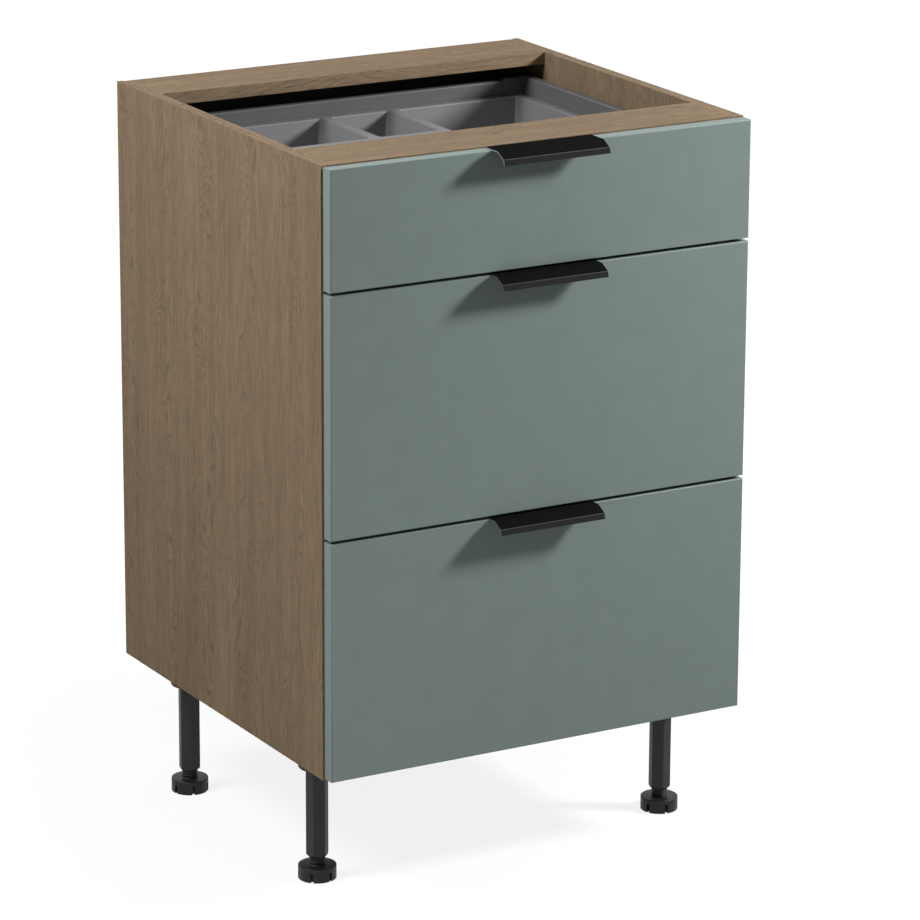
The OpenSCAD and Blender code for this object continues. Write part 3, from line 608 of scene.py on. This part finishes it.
# Cutlery tray, in millimetres: the same sizes as its solid
TRAY_WALL = 2
TRAY_RIM = 14
TRAY_DIVIDER = 15
SMALL_BAY_W = 85
LONG_BAY_W = 182
REAR_BAY_L = 134
FRONT_BAYS = 3
BAY_DRAFT = 7
BAY_CORNER = 4.5
BAY_FLOOR = 4
BAY_LIP = 2.4
SKIRT = 9
# Its flat edge rows beside the rounds, the skirt's round, and the corner radius of the compartments' floors
LAND = 0.5
SKIRT_ROUND = 1.4
FLOOR_CORNER = 0.4
# How much thinner its sheet is than the solid's wall
SHEET_EASE = 0.05
# Points round a corner, down a compartment's round and up the skirt's round
CORNER_POINTS = 9
BAY_POINTS = 8
SKIRT_POINTS = 5


def round_rectangle(x0, x1, y0, y1, radius):
    """Points counter-clockwise round a rectangle: at each corner's centre, radius times (cos t, sin t)."""
    t = np.linspace(0, np.pi / 2, CORNER_POINTS)[None, :] + np.arange(4)[:, None] * np.pi / 2
    centres = np.array([(x1 - radius, y1 - radius), (x0 + radius, y1 - radius),
                        (x0 + radius, y0 + radius), (x1 - radius, y0 + radius)])
    return (centres[:, None, :] + radius * np.stack([np.cos(t), np.sin(t)], -1)).reshape(-1, 2)


def ring_stack(edge, profile):
    """Rings of points inside a rectangle. A row of the profile is its inset from the edge, its height and its
    corner radius."""
    x0, x1, y0, y1 = edge
    rings = []
    for inset, height, radius in profile:
        flat = round_rectangle(x0 + inset, x1 - inset, y0 + inset, y1 - inset, radius)
        rings.append(np.column_stack([flat, np.full(len(flat), height)]))
    return np.array(rings)


def tray_bays(edge):
    """The mouths of the compartments: a long one at the right, two at the back and a row at the front."""
    x0, x1, y0, y1 = edge
    x0, x1, y0, y1 = x0 + TRAY_RIM, x1 - TRAY_RIM, y0 + TRAY_RIM, y1 - TRAY_RIM
    small_x1 = x1 - LONG_BAY_W - TRAY_DIVIDER
    small_x0 = small_x1 - SMALL_BAY_W
    rear_y0 = y1 - REAR_BAY_L
    bays = [(x1 - LONG_BAY_W, x1, y0, y1), (small_x0, small_x1, rear_y0, y1),
            (x0, small_x0 - TRAY_DIVIDER, rear_y0, y1)]
    width = (small_x1 - x0 - (FRONT_BAYS - 1) * TRAY_DIVIDER) / FRONT_BAYS
    for i in range(FRONT_BAYS):
        start = x0 + i * (width + TRAY_DIVIDER)
        bays.append((start, start + width, y0, rear_y0 - TRAY_DIVIDER))
    return bays


def skirt_profile(top):
    """The skirt from its lower edge up, then a quarter round, SKIRT_ROUND times (1 - cos t, sin t - 1) from
    the upper edge, and a flat land."""
    t = np.linspace(0, np.pi / 2, SKIRT_POINTS)
    turn = [(SKIRT_ROUND * (1 - math.cos(a)), top - SKIRT_ROUND * (1 - math.sin(a)), BAY_LIP) for a in t]
    return [(0, top - SKIRT, BAY_LIP)] + turn + [(SKIRT_ROUND + LAND, top, BAY_LIP)]


def bay_profile(top, floor):
    """A compartment from its mouth down: a flat land, a quarter round lip, BAY_LIP times (sin t - 1,
    cos t - 1) from the mouth's edge, a drafted wall, and a quarter round to the floor, BAY_FLOOR times
    (1 - cos t, 1 - sin t) from the wall's foot."""
    t = np.linspace(0, np.pi / 2, BAY_POINTS)
    lip = [(-BAY_LIP - LAND, top, BAY_CORNER + BAY_LIP + LAND)]
    lip += [(BAY_LIP * (math.sin(a) - 1), top - BAY_LIP * (1 - math.cos(a)),
             BAY_CORNER + BAY_LIP * (1 - math.sin(a))) for a in t]
    reach = BAY_FLOOR - FLOOR_CORNER
    foot = [(BAY_DRAFT + BAY_FLOOR * (1 - math.cos(a)), floor + BAY_FLOOR * (1 - math.sin(a)),
             BAY_FLOOR - reach * (1 - math.cos(a))) for a in t]
    return lip + foot


def moulded_tray():
    """One thermoformed sheet: a plate with a skirt round it and a well for each compartment. Each of these is
    a stack of rounded rectangles that follows its profile, and the plate fills in between their mouths."""
    low, high = (np.array(corner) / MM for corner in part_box("cutlery_tray"))
    edge = (low[0], high[0], low[1], high[1])
    top, floor = high[2], low[2] + TRAY_WALL
    stacks = [ring_stack(edge, skirt_profile(top))]
    stacks += [ring_stack(bay, bay_profile(top, floor)) for bay in tray_bays(edge)]
    points, faces, loops, first = [], [], [], 0
    for number, stack in enumerate(stacks):
        rings, count = stack.shape[:2]
        last = first + (rings - 1) * count
        faces += ring_faces(count, rings, first).tolist()
        mouth = last if number == 0 else first
        loops.append(list(range(mouth, mouth + count)))
        if number > 0:
            faces.append(list(range(last, last + count)))
        points.append(stack.reshape(-1, 3))
        first += rings * count
    points = np.concatenate(points)
    order = [i for loop in loops for i in loop]
    plate = tessellate_polygon([[Vector((*points[i, :2], 0)) for i in loop] for loop in loops])
    faces += [face_up([order[i] for i in corner], points) for corner in plate]
    tray = piece_from("moulded_tray", points * MM, faces, FINISHES["tray_plastic"])
    sheet = tray.modifiers.new("sheet", "SOLIDIFY")
    sheet.thickness = (TRAY_WALL - SHEET_EASE) * MM
    sheet.offset = -1
    sheet.use_even_offset = True
    normals = tray.modifiers.new("normals", "WEIGHTED_NORMAL")
    normals.keep_sharp = True
    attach(tray, "top_drawer")
    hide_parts("cutlery_tray")


# Levelling feet, in millimetres: the same sizes as their solids
FOOT_R = 24.6
FOOT_T = 18
FOOT_EDGE = 1
NOTCHES = 6
NOTCH_W = 3.8
NOTCH_H = 12
NOTCH_DEPTH = 5
STEM_R = 10.5
STEM_LEN = 70
# The chamfers under the disc and at the stem's root, and how far the thread keeps from the disc and from the
# tip, which is also the tip's chamfer
UNDER_EDGE = 0.4
STEM_FOOT = 0.6
STEM_END = 0.8
THREAD_PITCH = 3
THREAD_DEPTH = 0.9
# Depth of the thread's groove at even steps along its pitch
GROOVE = (0, 0, 0, 0, 0.5, 1, 1, 0.5)
# Points from one notch to the next, and up the disc's upper round
DISC_POINTS = 9
EDGE_POINTS = 5
# How each foot is turned, in degrees
FOOT_TURNS = {"foot_front_left": 16, "foot_rear_left": -15, "foot_front_right": -8, "foot_rear_right": 10}


def foot_outlines(turn):
    """Two outlines of a foot's disc with matching points. The first runs into the notches. The second is
    given as angles and runs round them."""
    half = NOTCH_W / 2
    spread_angle = math.asin(half / FOOT_R)
    step = 2 * math.pi / NOTCHES
    inner = FOOT_R - NOTCH_DEPTH
    mouth = FOOT_R * math.cos(spread_angle)
    notched, angles = [], []
    for i in range(NOTCHES):
        middle = math.radians(turn - 90) + i * step
        along = np.array([math.cos(middle), math.sin(middle)])
        aside = np.array([-along[1], along[0]])
        walls = [(mouth, -half), (inner, -half), (inner, 0), (inner, half), (mouth, half)]
        notched += [u * along + w * aside for u, w in walls]
        angles += [middle + spread_angle * share for share in (-1, -0.5, 0, 0.5, 1)]
        rest = middle + np.linspace(spread_angle, step - spread_angle, DISC_POINTS)[1:-1]
        notched += [FOOT_R * np.array([math.cos(a), math.sin(a)]) for a in rest]
        angles += rest.tolist()
    return np.array(notched), np.array(angles)


def disc_rings(notched, circle, root):
    """Rings of a foot's disc from its underside to the stem's root: notched up to NOTCH_H, then round, with a
    quarter round of the radius FOOT_EDGE at the top."""
    levels = [(notched * (1 - UNDER_EDGE / FOOT_R), 0), (notched, UNDER_EDGE), (notched, NOTCH_H),
              (circle * FOOT_R, NOTCH_H)]
    levels += [(circle * (FOOT_R - FOOT_EDGE * (1 - math.cos(a))), FOOT_T - FOOT_EDGE * (1 - math.sin(a)))
               for a in np.linspace(0, math.pi / 2, EDGE_POINTS)]
    levels += [(circle * (root + STEM_FOOT), FOOT_T), (circle * root, FOOT_T + STEM_FOOT)]
    return [np.column_stack([flat, np.full(len(flat), height)]) for flat, height in levels]


def thread_faces(count, rows, total, first):
    """Faces of the thread, from the ring of points before it to the ring after it. Each row climbs by one
    pitch in a turn, so its last point joins the first point of the row that lies a pitch above it."""
    last, end = first + total * count, count - 1
    below, above = first - count, last + count
    faces = [f for f in ring_faces(count, total + 1, first).tolist() if f[1] % count]
    k = np.arange(count - 1)
    faces += np.stack([below + k, below + k + 1, first + k + 1, first + k], -1).tolist()
    faces += np.stack([last + k, last + k + 1, above + k + 1, above + k], -1).tolist()
    for i in range(total - rows):
        a, b = first + i * count + end, first + (i + rows) * count
        faces.append([a, b, b + count, a + count])
    faces.append([below + end, below] + [first + i * count for i in range(rows + 1)] + [first + end])
    faces.append([last - rows * count + end, last, above, above + end]
                 + [last - i * count + end for i in range(rows)])
    return faces


def levelling_foot(name, turn):
    """A disc with grip notches and a stem with a helical thread. A stem point at the angle a in row i is
    at the height (i / rows + a / 2 pi) * THREAD_PITCH, and its radius is STEM_R less the groove's depth."""
    low, high = (np.array(corner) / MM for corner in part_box(name))
    notched, angles = foot_outlines(turn)
    circle = np.column_stack([np.cos(angles), np.sin(angles)])
    count, rows = len(angles), len(GROOVE)
    root, top = STEM_R - THREAD_DEPTH, FOOT_T + STEM_LEN
    disc = disc_rings(notched, circle, root)
    base = FOOT_T + STEM_END
    start = angles - angles[0]
    total = int((top - STEM_END - base) / THREAD_PITCH - 1) * rows
    stem = []
    for i in range(total + 1):
        radius = STEM_R - THREAD_DEPTH * GROOVE[i % rows]
        height = base + (i / rows + start / 2 / math.pi) * THREAD_PITCH
        stem.append(np.column_stack([circle * radius, height]))
    tip = [np.column_stack([circle * root, np.full(count, top - STEM_END)]),
           np.column_stack([circle * (root - STEM_END), np.full(count, top)])]
    points = np.concatenate(disc + stem + tip)
    faces = ring_faces(count, len(disc), 0).tolist()
    faces.append(list(range(count))[::-1])
    faces += thread_faces(count, rows, total, len(disc) * count)
    faces += ring_faces(count, len(tip), (len(disc) + len(stem)) * count).tolist()
    faces.append(list(range(len(points) - count, len(points))))
    points[:, :2] += (low[:2] + high[:2]) / 2
    points[:, 2] += low[2]
    foot = piece_from("threaded_" + name, points * MM, faces, FINISHES["foot_plastic"])
    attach(foot, name)
    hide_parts(name)


# Screws, in millimetres: the same sizes as their solids, with a cross recess and a ridged shank
HEAD_R = 3.5
HEAD_T = 1.6
SHANK_R = 2
# The chamfer of the head's edge, where the first ridge begins, and the tip's length and blunt end
HEAD_EDGE = 0.2
RIDGE_START = 1.8
TIP_LEN = 2
TIP_R = 0.2
RIDGE_PITCH = 1.4
RIDGE_DEPTH = 0.45
SCREW_STEPS = 16
# Rings of the head's face: radius, drop between the recess's arms, drop in the arms
RECESS = ((3.2, 0, 0), (2.1, 0, 0), (1.9, 0, 0.15), (1.2, 0, 1.0), (0.6, 0.3, 1.15), (0, 1.2, 1.2))
# How near a solid's points have to be for a weld, and how far inside the head's radius its points may lie
SCREW_WELD = 0.002
HEAD_BAND = 0.4
SCREW_NODES = ("back_panel_screws", "runner_screws", "leg_screws", "top_drawer_screws",
               "middle_drawer_screws", "bottom_drawer_screws")


def screw_islands(name):
    """The points of every screw in a CAD node, whose loose triangles are welded in a copy."""
    welded = bmesh.new()
    welded.from_mesh(frame["nodes"][name].data)
    bmesh.ops.remove_doubles(welded, verts=welded.verts, dist=SCREW_WELD * MM)
    islands, seen = [], set()
    for start in welded.verts:
        if start in seen:
            continue
        seen.add(start)
        waiting, island = [start], []
        while waiting:
            vert = waiting.pop()
            island.append(vert.co[:])
            for edge in vert.link_edges:
                other = edge.other_vert(vert)
                if other not in seen:
                    seen.add(other)
                    waiting.append(other)
        islands.append(np.array(island) / MM)
    welded.free()
    return islands


def screw_rings(length, countersunk):
    """Rings of a screw along -Z from its head's face at 0. A ring's point k stands at the radius times
    (cos t, sin t), with t = 2 pi k / SCREW_STEPS."""
    arms = np.arange(SCREW_STEPS) % (SCREW_STEPS // 4) == 0
    rings = [(radius, -np.where(arms, deep, shallow)) for radius, shallow, deep in RECESS[::-1]]
    rings += [(HEAD_R, -HEAD_EDGE)]
    if not countersunk:
        rings += [(HEAD_R, -HEAD_T), (SHANK_R, -HEAD_T)]
    depth = RIDGE_START
    while depth < length - TIP_LEN:
        rings += [(SHANK_R - RIDGE_DEPTH, -depth), (SHANK_R, -depth - RIDGE_PITCH / 2)]
        depth += RIDGE_PITCH
    rings += [(SHANK_R - RIDGE_DEPTH, -depth), (TIP_R, -length)]
    t = 2 * np.pi * np.arange(SCREW_STEPS) / SCREW_STEPS
    return np.array([np.column_stack([radius * np.cos(t), radius * np.sin(t), np.ones(SCREW_STEPS) * height])
                     for radius, height in rings])


def cut_screws(name):
    """Swaps a CAD node's plain screws for ridged ones: each is the stack of rings of screw_rings, and stands
    where its island's box and head are."""
    points, faces, first = [], [], 0
    for island in screw_islands(name):
        low, high = island.min(0), island.max(0)
        axis = int(np.argmax(high - low))
        middle = (low + high) / 2
        away = np.linalg.norm(np.delete(island - middle, axis, 1), axis=1)
        head = island[away > HEAD_R - HEAD_BAND, axis]
        forward = head.mean() > middle[axis]
        countersunk = np.ptp(head) < HEAD_T / 2
        rings = screw_rings(high[axis] - low[axis], countersunk)
        side = (axis + 1) % 3, (axis + 2) % 3
        placed = np.tile(middle, (*rings.shape[:2], 1))
        placed[..., side[0]] += rings[..., 0]
        placed[..., side[1]] += rings[..., 1] if forward else -rings[..., 1]
        placed[..., axis] = high[axis] + rings[..., 2] if forward else low[axis] - rings[..., 2]
        last = first + (len(rings) - 1) * SCREW_STEPS
        faces += [face[::-1] for face in ring_faces(SCREW_STEPS, len(rings), first).tolist()]
        faces.append(list(range(last, last + SCREW_STEPS))[::-1])
        points.append(placed.reshape(-1, 3))
        first += len(rings) * SCREW_STEPS
    node = frame["nodes"][name]
    screws = piece_from("threaded_" + name, np.concatenate(points) * MM, faces, node.data.materials[0])
    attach(screws, node.parent.name.split(":")[1])
    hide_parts(name)


place_camera()
light_studio()
lay_floor()
dress_nodes()
for node_name, edge_round in EDGE_ROUNDS.items():
    soften_edges(node_name, edge_round)
moulded_tray()
for foot_name, foot_turn in FOOT_TURNS.items():
    levelling_foot(foot_name, foot_turn)
for node_name in SCREW_NODES:
    cut_screws(node_name)
